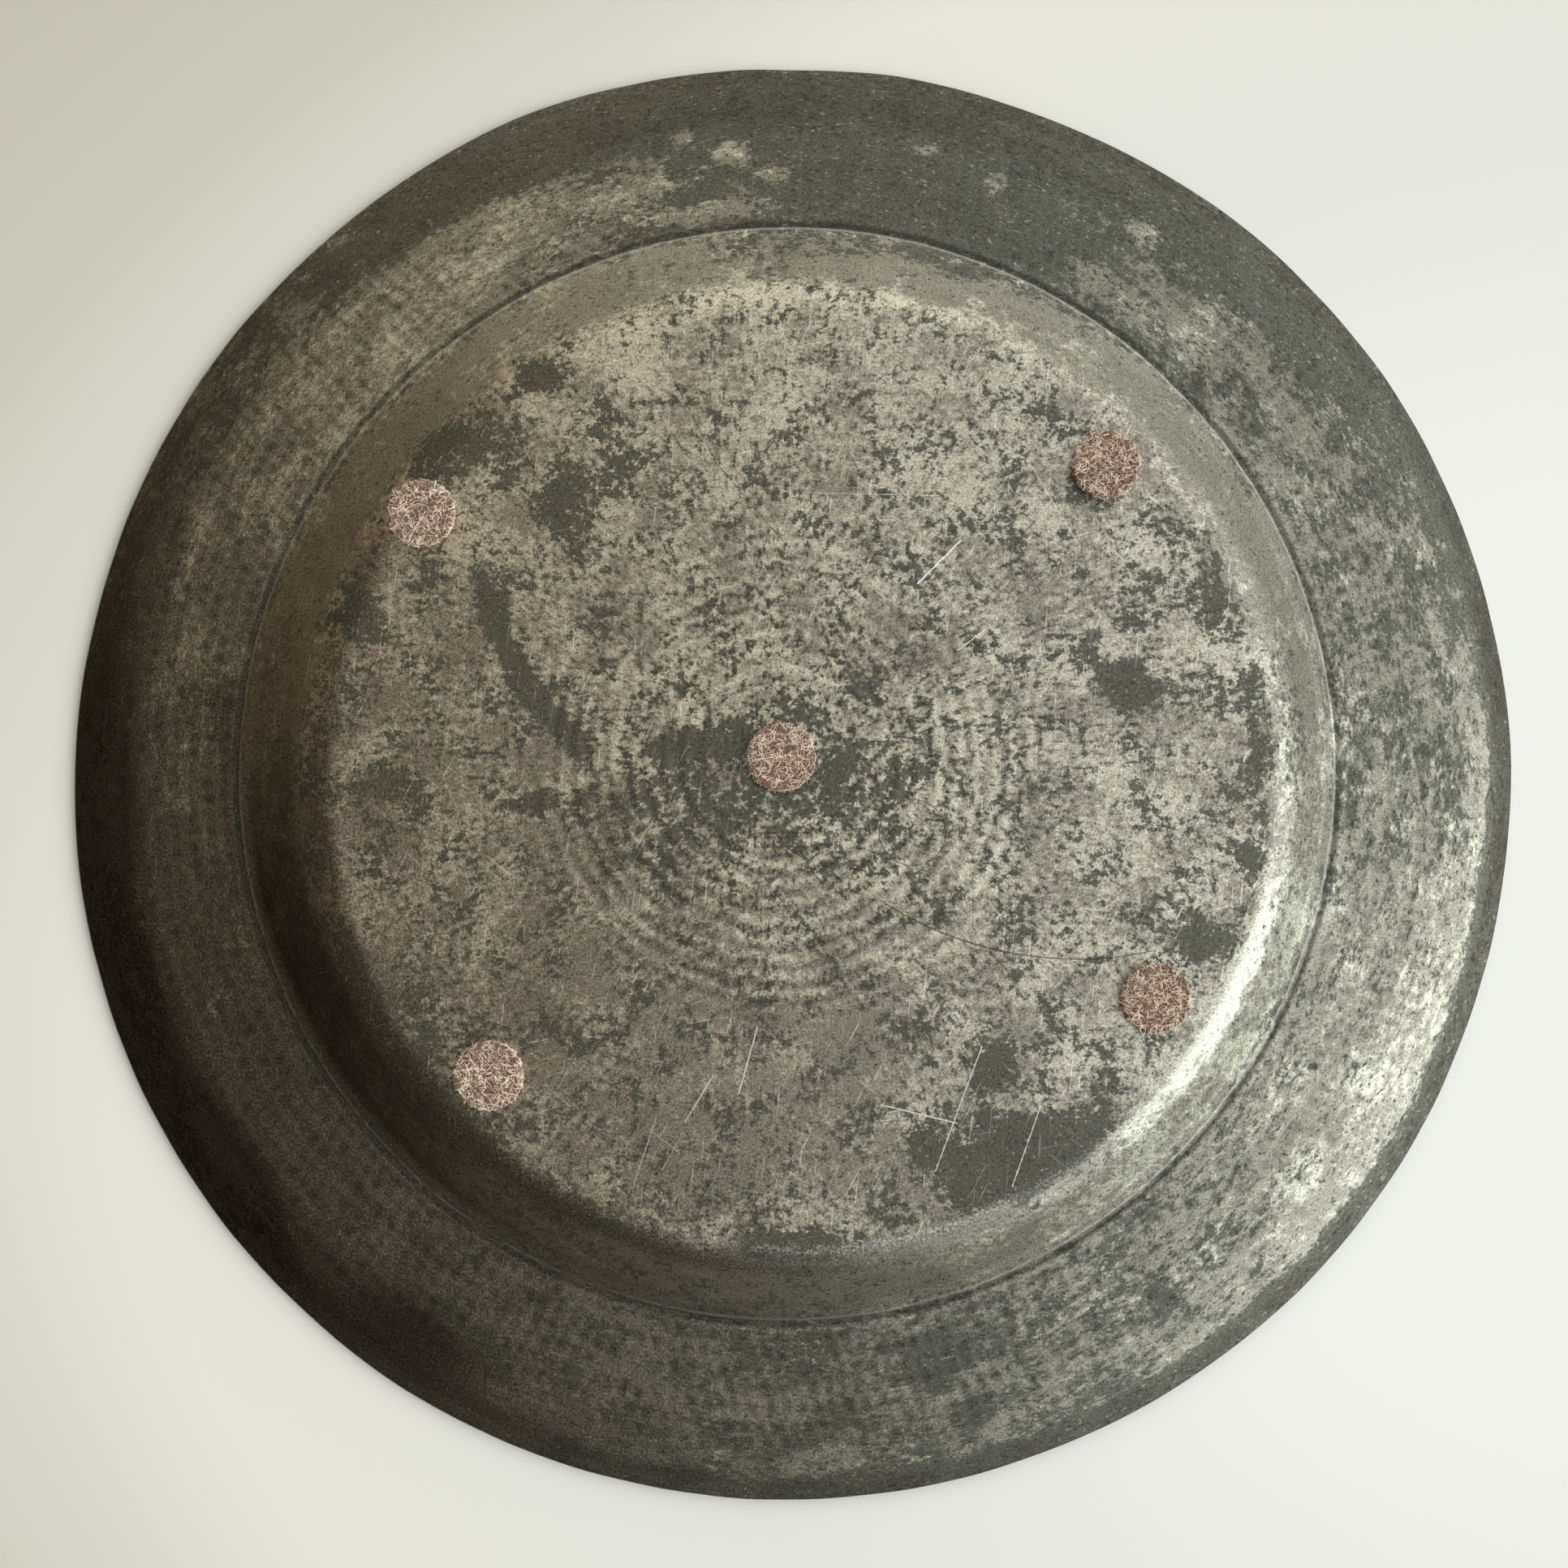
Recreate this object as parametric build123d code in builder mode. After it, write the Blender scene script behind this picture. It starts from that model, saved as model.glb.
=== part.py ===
from build123d import *
import os
from math import cos, radians, sin, tan

# Paten plate: a broad-rimmed pewter dish lying face down, with stick-on felt pads under its base.
# All sizes in millimetres. The origin is the centre of the ring on which the face-down rim rests.
# +Z points out of the underside, towards the felt pads.

# Pewter sheet
wall = 1.8
base_height = 25.5
plate_radius = 210.0

# Bouge, the sloping wall between the base and the rim, seen on the underside
shoulder_radius = 135.6
shoulder_rounding = 16.0
flank_angle = 36.0
foot_height = 10.0
foot_rounding = 10.0

# Underside of the rim, as radius and height, from the bouge outwards
rim_break = (189.0, 6.6)
edge_break = (203.7, 4.2)
edge_top = (plate_radius, 2.6)

# Single reed: the raised moulding around the front edge, on which the face-down plate rests
reed_inner_radius = 205.2
land_inner_radius = 207.2
land_outer_radius = 208.6
edge_foot = (plate_radius, 0.9)
edge_rounding = 0.7

# Felt pads and the adhesive under each
pad_diameter = 19.0
pad_thickness = 3.0
pad_edge_softness = 0.5
adhesive_diameter = 18.2
adhesive_thickness = 0.2
pad_ring_radius = 123.0
pad_places = {  # name: radius and bearing in degrees, counter-clockwise from +X
    "centre": (0.7, 0.0),
    "right_back": (pad_ring_radius, 41.8),
    "left_back": (pad_ring_radius, 145.5),
    "left_front": (119.3, 227.7),
    "right_front": (pad_ring_radius, 327.2),
}

# The underside's corners between base, bouge and rim, and the same corners on the front, one wall further in
flank_run = (base_height - foot_height) / tan(radians(flank_angle))
front_inset = wall * tan(radians(flank_angle / 2))
shoulder = (shoulder_radius, base_height)
foot = (shoulder_radius + flank_run, foot_height)
front_shoulder = (shoulder[0] - front_inset, base_height - wall)
front_foot = (foot[0] - front_inset, foot_height - wall)


def front_point(radius, start, end):
    """The point of the front face at a radius: one wall under the underside's line from start to end."""
    share = (radius - start[0]) / (end[0] - start[0])
    return (radius, start[1] + share * (end[1] - start[1]) - wall)


front_rim_break = front_point(rim_break[0], foot, rim_break)
front_edge_break = front_point(edge_break[0], rim_break, edge_break)
reed_foot = front_point(reed_inner_radius, edge_break, edge_top)

os.makedirs("parts", exist_ok=True)


def finish_piece(part, name):
    part.label = name
    export_step(part, f"parts/{name}.step")


# One piece: base, bouge, rim, reed and edge are cast and hammered from a single sheet
with BuildPart() as plate_body:
    with BuildSketch(Plane.XZ) as section:
        with BuildLine():
            Polyline(
                (0, base_height),
                shoulder,
                foot,
                rim_break,
                edge_break,
                edge_top,
                edge_foot,
                (land_outer_radius, 0),
                (land_inner_radius, 0),
                reed_foot,
                front_edge_break,
                front_rim_break,
                front_foot,
                front_shoulder,
                (0, base_height - wall),
                close=True,
            )
        make_face()
        roundings = (
            (shoulder, shoulder_rounding),
            (front_shoulder, shoulder_rounding - wall),
            (foot, foot_rounding),
            (front_foot, foot_rounding + wall),
            (edge_top, edge_rounding),
            (edge_foot, edge_rounding),
        )
        for corner, radius in roundings:
            fillet(section.vertices().sort_by_distance(corner)[0], radius)
    revolve(axis=Axis.Z)
finish_piece(plate_body.part, "plate_body")

# Each felt pad stands on its own thin disc of adhesive on the base
for place, (radius, bearing) in pad_places.items():
    x, y = radius * cos(radians(bearing)), radius * sin(radians(bearing))

    with BuildPart() as adhesive_disc:
        with BuildSketch(Plane((x, y, base_height))):
            Circle(adhesive_diameter / 2)
        extrude(amount=adhesive_thickness)
    finish_piece(adhesive_disc.part, f"adhesive_disc_{place}")

    with BuildPart() as felt_pad:
        with BuildSketch(Plane((x, y, base_height + adhesive_thickness))):
            Circle(pad_diameter / 2)
        extrude(amount=pad_thickness)
        top_edge = felt_pad.edges().filter_by(GeomType.CIRCLE).sort_by(Axis.Z)[-1]
        fillet(top_edge, pad_edge_softness)
    finish_piece(felt_pad.part, f"felt_pad_{place}")
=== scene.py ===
from math import cos, pi, radians, sin, tan, tau

import bpy
import numpy as np
from mathutils import Matrix, Vector


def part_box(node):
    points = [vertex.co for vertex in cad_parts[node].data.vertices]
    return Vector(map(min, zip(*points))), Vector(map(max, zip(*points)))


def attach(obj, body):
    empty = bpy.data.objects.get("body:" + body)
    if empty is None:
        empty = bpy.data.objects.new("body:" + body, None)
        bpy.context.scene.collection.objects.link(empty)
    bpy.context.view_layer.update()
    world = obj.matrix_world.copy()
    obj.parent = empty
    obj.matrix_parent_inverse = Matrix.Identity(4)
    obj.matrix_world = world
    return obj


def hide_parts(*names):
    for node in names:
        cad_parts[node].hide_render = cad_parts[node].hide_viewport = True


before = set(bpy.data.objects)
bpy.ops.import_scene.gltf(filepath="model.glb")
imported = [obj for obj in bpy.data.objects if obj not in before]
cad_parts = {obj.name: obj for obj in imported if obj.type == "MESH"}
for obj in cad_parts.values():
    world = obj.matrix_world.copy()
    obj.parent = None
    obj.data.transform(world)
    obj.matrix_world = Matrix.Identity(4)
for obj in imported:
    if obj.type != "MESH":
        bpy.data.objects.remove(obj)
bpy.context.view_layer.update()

mm = 0.001


# Node helper

class Wire:
    # One node socket that takes part in Python sums. Without a socket it only stands for its tree.
    def __init__(self, tree, socket=None):
        self.tree = tree
        self.socket = socket

    def node(self, kind, settings=None, sockets=None, output=0):
        made = self.tree.nodes.new(kind)
        for name, value in (settings or {}).items():
            if name == "stops":
                setStops(made.color_ramp, value)
            else:
                setattr(made, name, value)
        for name, value in (sockets or {}).items():
            if isinstance(value, Wire):
                self.tree.links.new(value.socket, made.inputs[name])
            else:
                made.inputs[name].default_value = value
        return Wire(self.tree, made.outputs[output] if made.outputs else None)

    def sum(self, operation, *values):
        return self.node("ShaderNodeMath", {"operation": operation}, dict(enumerate(values)))

    def __add__(self, other):
        return self.sum("ADD", self, other)

    def __sub__(self, other):
        return self.sum("SUBTRACT", self, other)

    def __rsub__(self, other):
        return self.sum("SUBTRACT", other, self)

    def __mul__(self, other):
        return self.sum("MULTIPLY", self, other)

    def __truediv__(self, other):
        return self.sum("DIVIDE", self, other)

    def __pow__(self, other):
        return self.sum("POWER", self, other)

    __radd__ = __add__
    __rmul__ = __mul__

    def other(self, socket):
        # another output of the same node
        return Wire(self.tree, self.socket.node.outputs[socket])

    def clamped(self):
        return self.node("ShaderNodeClamp", None, {0: self})

    def step(self, low, high):
        # a soft step from 0 at low to 1 at high
        return self.node("ShaderNodeMapRange", {"interpolation_type": "SMOOTHSTEP"},
                         {"Value": self, "From Min": low, "From Max": high})

    def vector(self, x=0.0, y=0.0, z=0.0):
        return self.node("ShaderNodeCombineXYZ", None, {"X": x, "Y": y, "Z": z})

    def vectorSum(self, operation, *values, output=0):
        return self.node("ShaderNodeVectorMath", {"operation": operation}, dict(enumerate(values)), output)

    def scaled(self, factor):
        return self.node("ShaderNodeVectorMath", {"operation": "SCALE"}, {0: self, "Scale": factor})

    def length(self):
        return self.vectorSum("LENGTH", self, output="Value")

    def blend(self, share, first, second):
        # from the first colour to the second one
        first, second = (c if isinstance(c, Wire) else (*c, 1.0) for c in (first, second))
        return self.node("ShaderNodeMix", {"data_type": "RGBA"}, {0: share, 6: first, 7: second}, 2)

    def mixed(self, other, share):
        # this colour going over to another one
        return self.blend(share, self, other)

    def most(self, other):
        return self.sum("MAXIMUM", self, other)

    def size(self):
        return self.sum("ABSOLUTE", self)

    def noise(self, where, scale, detail=4.0, roughness=0.5, distortion=0.0):
        return self.node("ShaderNodeTexNoise", None, {
            "Vector": where, "Scale": scale, "Detail": detail, "Roughness": roughness,
            "Distortion": distortion})


def setStops(ramp, stops):
    while len(ramp.elements) > len(stops):
        ramp.elements.remove(ramp.elements[-1])
    while len(ramp.elements) < len(stops):
        ramp.elements.new(1.0)
    for element, (place, colour) in zip(ramp.elements, stops):
        element.position = place
        element.color = (*colour, 1.0)


def newMaterial(name):
    material = bpy.data.materials.new(name)
    material.use_nodes = True
    material.node_tree.nodes.clear()
    return material, Wire(material.node_tree)


def endSurface(graph, sockets):
    shader = graph.node("ShaderNodeBsdfPrincipled", None, sockets)
    graph.node("ShaderNodeOutputMaterial", None, {"Surface": shader})


# Plate: one sheet of pewter, turned and then hammered
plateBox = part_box("plate_body")
plateRadius = plateBox[1][0] / mm
baseHeight = plateBox[1][2] / mm

plate = {  # millimetres, underside first
    "wall": 1.8,
    "shoulderRadius": 135.6,
    "flankAngle": 36.0,
    "footHeight": 10.0,
    "rimBreak": (189.0, 6.6),
    "edgeBreak": (203.7, 4.2),
    "edgeTop": 2.6,
    "edgeFoot": 0.9,
    "land": (207.2, 208.6),
    "reedFoot": (205.2, 2.0),
    "shoulderRounding": 16.0,
    "footRounding": 10.0,
    "edgeRounding": 0.7,
    "foldRadius": 157.8,
    "foldGroove": 0.30,
    "foldBead": 0.28,
    "segments": 1024,  # around the hammered rim
    # distance between rings of points, up to each radius
    "spacing": ((24, 2.4), (66, 1.7), (126, 2.7), (155.5, 1.5), (160.5, 0.42), (204, 1.28), (999, 0.62)),
    "frontSpacing": ((201, 6.0), (999, 1.2)),
    # what the segments are divided by, up to each radius
    "thinning": ((12, 16), (34, 8), (66, 4), (154, 2), (204.5, 1), (999, 2)),
    "frontThinning": ((30, 16), (70, 8), (150, 4), (999, 2)),
}


def roundedPath(corners):
    # corners are (radius, height, rounding), and each rounding becomes an arc of short chords
    path = [corners[0][:2]]
    for before, corner, after in zip(corners, corners[1:], corners[2:]):
        here = Vector(corner[:2])
        if corner[2] == 0:
            path.append(tuple(here))
            continue
        inward = (Vector(before[:2]) - here).normalized()
        outward = (Vector(after[:2]) - here).normalized()
        half = inward.angle(outward) / 2
        centre = here + (inward + outward).normalized() * (corner[2] / sin(half))
        start = here + inward * (corner[2] / tan(half)) - centre
        end = here + outward * (corner[2] / tan(half)) - centre
        sweep = start.angle_signed(end)
        chords = max(3, round(abs(sweep) * 24 / pi))
        for k in range(chords + 1):
            turned = Matrix.Rotation(-sweep * k / chords, 2) @ start
            path.append(tuple(centre + turned))
    path.append(corners[-1][:2])
    return np.array(path)


def platePath():
    run = (baseHeight - plate["footHeight"]) / tan(radians(plate["flankAngle"]))
    inset = plate["wall"] * tan(radians(plate["flankAngle"] / 2))
    shoulder = (plate["shoulderRadius"], baseHeight)
    foot = (plate["shoulderRadius"] + run, plate["footHeight"])
    wall = plate["wall"]
    corners = [
        (0.0, baseHeight, 0),
        (*shoulder, plate["shoulderRounding"]),
        (*foot, plate["footRounding"]),
        (*plate["rimBreak"], 25.0),
        (*plate["edgeBreak"], 12.0),
        (plateRadius, plate["edgeTop"], plate["edgeRounding"]),
        (plateRadius, plate["edgeFoot"], plate["edgeRounding"]),
        (plate["land"][1], 0.0, 0),
        (plate["land"][0], 0.0, 0),
        (*plate["reedFoot"], 0),
        (plate["edgeBreak"][0], plate["edgeBreak"][1] - wall, 0),
        (plate["rimBreak"][0], plate["rimBreak"][1] - wall, 0),
        (foot[0] - inset, foot[1] - wall, plate["footRounding"] + wall),
        (shoulder[0] - inset, shoulder[1] - wall, plate["shoulderRounding"] - wall),
        (0.0, baseHeight - wall, 0),
    ]
    return roundedPath(corners)


def upTo(radius, table):
    # the value of the first row whose radius is not reached yet
    return next(value for limit, value in table if radius < limit)


def plateRings():
    # radius, height, segments and side of each ring, from the middle of the base over the edge to the well
    path = platePath()
    lengths = np.concatenate([[0.0], np.cumsum(np.hypot(*np.diff(path, axis=0).T))])
    turning = lengths[np.argmax(path[:, 0] + path[:, 1] * 0.01 * (path[:, 0] > plateRadius - 1))]
    rings = []
    along = 0.0
    while along < lengths[-1]:
        radius = float(np.interp(along, lengths, path[:, 0]))
        height = float(np.interp(along, lengths, path[:, 1]))
        front = along > turning + plate["edgeTop"]
        share = upTo(radius, plate["frontThinning" if front else "thinning"])
        rings.append((radius, height, plate["segments"] // share, front))
        along += upTo(radius, plate["frontSpacing" if front else "spacing"])
    rings.append((0.0, float(path[-1, 1]), rings[-1][2], True))
    return rings


def joinRings(firstA, countA, firstB, countB):
    # faces between two rings, one of which may have twice as many points as the other
    faces = []
    if countA == countB:
        for j in range(countA):
            k = (j + 1) % countA
            faces.append((firstA + j, firstB + j, firstB + k, firstA + k))
    elif countB == 2 * countA:
        for j in range(countA):
            k = (j + 1) % countA
            left, middle, right = firstB + 2 * j, firstB + 2 * j + 1, firstB + (2 * j + 2) % countB
            faces.append((firstA + j, left, middle))
            faces.append((firstA + j, middle, firstA + k))
            faces.append((firstA + k, middle, right))
    else:
        for j in range(countB):
            k = (j + 1) % countB
            left, middle, right = firstA + 2 * j, firstA + 2 * j + 1, firstA + (2 * j + 2) % countA
            faces.append((left, firstB + j, middle))
            faces.append((middle, firstB + j, firstB + k))
            faces.append((middle, firstB + k, right))
    return faces


def plateBlank():
    rings = plateRings()
    points = [(0.0, 0.0, rings[0][1])]
    underside = [1.0]
    faces = []
    first = None
    before = None
    for radius, height, count, front in rings[1:-1]:
        start = len(points)
        for j in range(count):
            angle = tau * j / count
            points.append((radius * cos(angle), radius * sin(angle), height))
        underside += [0.0 if front else 1.0] * count
        if before is None:
            faces += [(0, start + j, start + (j + 1) % count) for j in range(count)]
        else:
            faces += joinRings(first, before, start, count)
        first = start
        before = count
    last = len(points)
    points.append((0.0, 0.0, rings[-1][1]))
    underside.append(0.0)
    faces += [(first + j, last, first + (j + 1) % before) for j in range(before)]
    return np.array(points), faces, np.array(underside)


# Unevenness of the real sheet, all in millimetres and degrees
outOfTrue = {
    "outline": ((112, 12, 1.5), (66, 11, -1.1), (2, 9, 0.5), (240, 8, 0.3), (165, 14, -0.4), (288, 16, -0.4),
                (322, 14, 0.3), (30, 8, 0.3), (88, 4, -0.5)),  # bearing, half-width, how far out
    "wellShift": (5.4, -4.0),  # the base sits off centre
    "rimWave": ((2, 40, 0.35), (3, 110, 0.2), (5, 15, 0.12)),  # waves per turn, phase, height
    "rimLift": 0.62,  # keeps the waves clear of the floor
    "dents": ((117, 112, 9, 5, 45, -0.9), (130, 100, 5, 5, 0, -0.5), (-142, 60, 12, 5, 110, -0.35),
              (40, -150, 10, 6, 10, -0.4), (-60, 143, 12, 5, 20, -0.3), (30, 30, 22, 16, 0, -0.25),
              (-70, -40, 26, 20, 0, 0.2), (20, -90, 30, 18, 0, -0.2)),
    # dents: x, y, half-length, half-width, turn, height
}


def smooth(value, low, high):
    share = np.clip((value - low) / (high - low), 0.0, 1.0)
    return share * share * (3 - 2 * share)


def blob(x, y, place):
    # 1 in the middle of a turned oval, falling softly to 0 outside it
    centreX, centreY, halfLength, halfWidth, turn = place[:5]
    c, s = cos(radians(turn)), sin(radians(turn))
    along = ((x - centreX) * c + (y - centreY) * s) / halfLength
    across = ((y - centreY) * c - (x - centreX) * s) / halfWidth
    return np.exp(-(along**2 + across**2) ** 1.5)


def bearingBump(bearing, centre, halfWidth):
    away = (bearing - centre + 180) % 360 - 180
    return np.exp(-((away / halfWidth) ** 2))


def bendOutOfTrue(points, underside):
    radius = np.hypot(points[:, 0], points[:, 1])
    angle = np.arctan2(points[:, 1], points[:, 0])
    bearing = np.degrees(angle)
    x, y, z = points[:, 0].copy(), points[:, 1].copy(), points[:, 2].copy()

    # fold: a low bead at the foot of the bouge, then a narrow groove, uneven around the plate
    off = radius - plate["foldRadius"] + 0.25 * np.sin(3 * angle + 1)
    deep = 0.75 + 0.25 * np.cos(angle + radians(45)) + 0.10 * np.sin(5 * angle)
    groove = np.exp(-(np.abs(off / 1.0) ** 1.6)) * plate["foldGroove"]
    bead = np.exp(-(((off + 3.6) / 1.8) ** 2)) * plate["foldBead"]
    lip = np.exp(-(((off + 1.0) / 0.45) ** 2)) * 0.08
    z += underside * (bead + lip - groove) * deep

    # waves and dents of the sheet, felt by both faces
    waves = sum(height * np.sin(count * angle + radians(phase))
                for count, phase, height in outOfTrue["rimWave"])
    z += (waves + outOfTrue["rimLift"]) * smooth(radius, 120, 200) * (1 - 0.9 * smooth(radius, 200, 206))
    for place in outOfTrue["dents"]:
        z += blob(x, y, place) * place[5]
    z = np.maximum(z, 0.0)

    # outline and off-centre base, which is at its full shift up to the shoulder and at none at the fold
    grow = sum(amount * bearingBump(bearing, centre, width)
               for centre, width, amount in outOfTrue["outline"])
    nicks = 0.07 * np.sin(23 * angle + 1) + 0.05 * np.sin(57 * angle) * np.sin(3 * angle)
    reach = 1 - (0.45 - grow - nicks) * smooth(radius, 165, 205) / plateRadius
    atFold = 0.25 - 0.25 * smooth(radius, 136, 159) + 0.75 * np.clip((159 - radius) / 23, 0, 1)
    shift = smooth(radius, 20, 100) * atFold
    x = x * reach + outOfTrue["wellShift"][0] * shift
    y = y * reach + outOfTrue["wellShift"][1] * shift
    limit = plateRadius - 0.01
    return np.stack([np.clip(x, -limit, limit), np.clip(y, -limit, limit), np.minimum(z, baseHeight)], axis=1)


def setAttribute(mesh, name, values):
    attribute = mesh.attributes.new(name, "FLOAT", "POINT")
    attribute.data.foreach_set("value", np.asarray(values, dtype=np.float32))


# Hammer work, in geometry
hammer = {  # millimetres
    "Row pitch": 5.15,
    "Mark pitch": 4.6,
    "First row": 136.7,
    "Mark depth": 0.155,
    "Ring pitch": 5.07,
    "Ring depth": 0.055,
    "Seed": 7.0,
}


def hammerCells(graph, x, y, pitch, markPitch, firstRow, seed):
    # rows of hammer marks in circles about the middle, as each mark's bowl and its chance number
    wander = graph.noise(graph.vector(x, y, seed), 0.085, 2.0)
    sideways = wander.node("ShaderNodeSeparateXYZ", None, {0: wander.other("Color")}, 1)
    radius = (x * x + y * y) ** 0.5 + (wander - 0.5) * 3.4
    angle = graph.sum("ARCTAN2", y, x)
    rows = (radius - firstRow) / pitch
    row = graph.sum("ROUND", rows, 0.0)
    count = graph.sum("ROUND", (row * pitch + firstRow) * tau / markPitch, 0.0)
    turn = angle / tau * count + row * 0.37 + (sideways - 0.5) * 1.1
    mark = graph.sum("ROUND", turn, 0.0)
    ident = graph.sum("FLOORED_MODULO", mark, count)
    chance = graph.node("ShaderNodeTexWhiteNoise", {"noise_dimensions": "3D"},
                        {"Vector": graph.vector(row, ident, seed)})
    across = rows - row
    along = turn - mark
    bowl = (1 - along * along * 4) * (1 - across * across * 4)
    return bowl, chance


def hammerTree(material):
    tree = bpy.data.node_groups.new("hammerWork", "GeometryNodeTree")
    tree.interface.new_socket(name="Geometry", in_out="INPUT", socket_type="NodeSocketGeometry")
    for name in hammer:
        tree.interface.new_socket(name=name, in_out="INPUT", socket_type="NodeSocketFloat")
    tree.interface.new_socket(name="Geometry", in_out="OUTPUT", socket_type="NodeSocketGeometry")
    graph = Wire(tree)
    given = graph.node("NodeGroupInput")
    value = {name: given.other(name) for name in hammer}
    place = graph.node("GeometryNodeInputPosition").scaled(1 / mm)
    x = place.node("ShaderNodeSeparateXYZ", None, {0: place}, "X")
    y = x.other("Y")
    work = graph.node("GeometryNodeInputNamedAttribute", {"data_type": "FLOAT"}, {"Name": "work"})
    ringed = graph.node("GeometryNodeInputNamedAttribute", {"data_type": "FLOAT"}, {"Name": "ringed"})
    bowl, chance = hammerCells(
        graph, x, y, value["Row pitch"], value["Mark pitch"], value["First row"], value["Seed"])
    struck = bowl * (chance * 0.8 + 0.45) * work
    radius = (x * x + y * y) ** 0.5
    rings = graph.sum("SINE", radius * tau / value["Ring pitch"]) * ringed
    drop = struck * value["Mark depth"] - rings * value["Ring depth"]
    moved = graph.node("GeometryNodeSetPosition", None, {
        "Geometry": given, "Offset": graph.vector(0.0, 0.0, drop * (-mm))})
    kept = graph.node("GeometryNodeStoreNamedAttribute", {"data_type": "FLOAT", "domain": "POINT"}, {
        "Geometry": moved, "Name": "hollow", "Value": struck})
    real = graph.node("GeometryNodeRealizeInstances", None, {"Geometry": kept})
    dressed = graph.node("GeometryNodeSetMaterial", None, {"Geometry": real, "Material": material})
    graph.node("NodeGroupOutput", None, {"Geometry": dressed})
    return tree


def runNodes(piece, tree, values, name):
    # puts a tree on a piece, keeps the result as a plain mesh, and drops the piece it came from
    modifier = piece.modifiers.new(tree.name, "NODES")
    modifier.node_group = tree
    for item in tree.interface.items_tree:
        if item.item_type == "SOCKET" and item.in_out == "INPUT" and item.name in values:
            modifier[item.identifier] = values[item.name]
    evaluated = piece.evaluated_get(bpy.context.evaluated_depsgraph_get())
    shape = bpy.data.meshes.new_from_object(evaluated)
    piece.modifiers.remove(modifier)
    bpy.data.objects.remove(piece)
    shape.name = name
    result = bpy.data.objects.new(name, shape)
    bpy.context.scene.collection.objects.link(result)
    shape.polygons.foreach_set("use_smooth", np.ones(len(shape.polygons), dtype=bool))
    return result


# Stains, wear, and soot with painted shade, listed in millimetres: x, y, half-length, half-width, turn,
# amount
stains = {
    "film": (  # dark film that stays where the dish was not rubbed
        (70, -110, 23, 11, 12, 0.95), (44, -111, 9, 7, 0, 0.45), (96, 20, 8, 7, 0, 0.7),
        (59, -84, 8, 9, 40, 0.5), (118, -51, 5, 13, 80, 0.6), (121, 47, 4, 12, 0, 0.45),
        (105, 50, 5, 3, 0, 0.4), (88, 31, 2, 8, 5, 0.5), (-82, 44, 12, 4, 110, 0.6),
        (-73, 24, 13, 4, 118, 0.6), (-62, 10, 12, 4, 130, 0.55), (-112, -8, 10, 4, 0, 0.55),
        (-69, -12, 10, 3, 5, 0.5), (-92, 90, 14, 10, 20, 0.4), (-68, 109, 8, 5, 0, 0.55),
        (-60, 72, 8, 15, 0, 0.4), (-46, 86, 6, 9, 0, 0.4), (-29, 4, 8, 5, 10, 0.5),
        (-4, -10, 44, 18, 10, 0.3), (2, 12, 40, 6, 25, 0.2), (5, -134, 17, 4, 0, 0.5),
        (76, 98, 10, 4, -30, 0.25), (-118, 40, 6, 16, 10, 0.3), (43, -168, 8, 8, 0, 0.45),
        (62, -161, 6, 6, 0, 0.4), (107, -152, 5, 6, 0, 0.4), (54, -185, 6, 5, 0, 0.35),
        (-101, -155, 12, 8, -30, 0.4), (-194, -9, 22, 8, 95, 0.5), (-158, -112, 16, 9, -50, 0.5),
        (15, 113, 10, 3, 0, 0.35), (-100, -80, 30, 10, -50, 0.2)),
    "clean": (  # rubbed back to bright metal
        (-15, 182, 6, 3, 10, 0.9), (-30, 187, 4, 3, 0, 0.8), (-2, 175, 5, 3, 10, 0.7),
        (21, 190, 4, 2, 0, 0.7), (43, 182, 5, 2, 0, 0.7), (64, 171, 4, 4, 0, 0.7),
        (107, 157, 7, 4, -20, 0.9), (-20, 163, 22, 3, 6, 0.7), (-46, 170, 14, 4, 12, 0.5),
        (95, 138, 16, 5, -40, 0.5), (120, 128, 14, 6, -45, 0.5), (30, 112, 40, 8, 0, 0.12),
        (-20, 112, 40, 8, 0, 0.12), (88, -122, 16, 5, 40, 0.5), (52, -135, 10, 4, 12, 0.7),
        (46, -141, 8, 3, 10, 0.5)),
    "soot": (  # brownish black along the outer left of the rim, partly soot and partly painted shade on the dark side
        (-199, -14, 34, 9, 92, 0.3), (-160, -118, 30, 10, -54, 0.7), (-104, -163, 24, 9, -32, 0.5),
        (-190, -60, 26, 7, -72, 0.4), (-163, 18, 16, 4, 96, 0.4), (-150, -40, 20, 3, 105, 0.3)),
}


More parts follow.
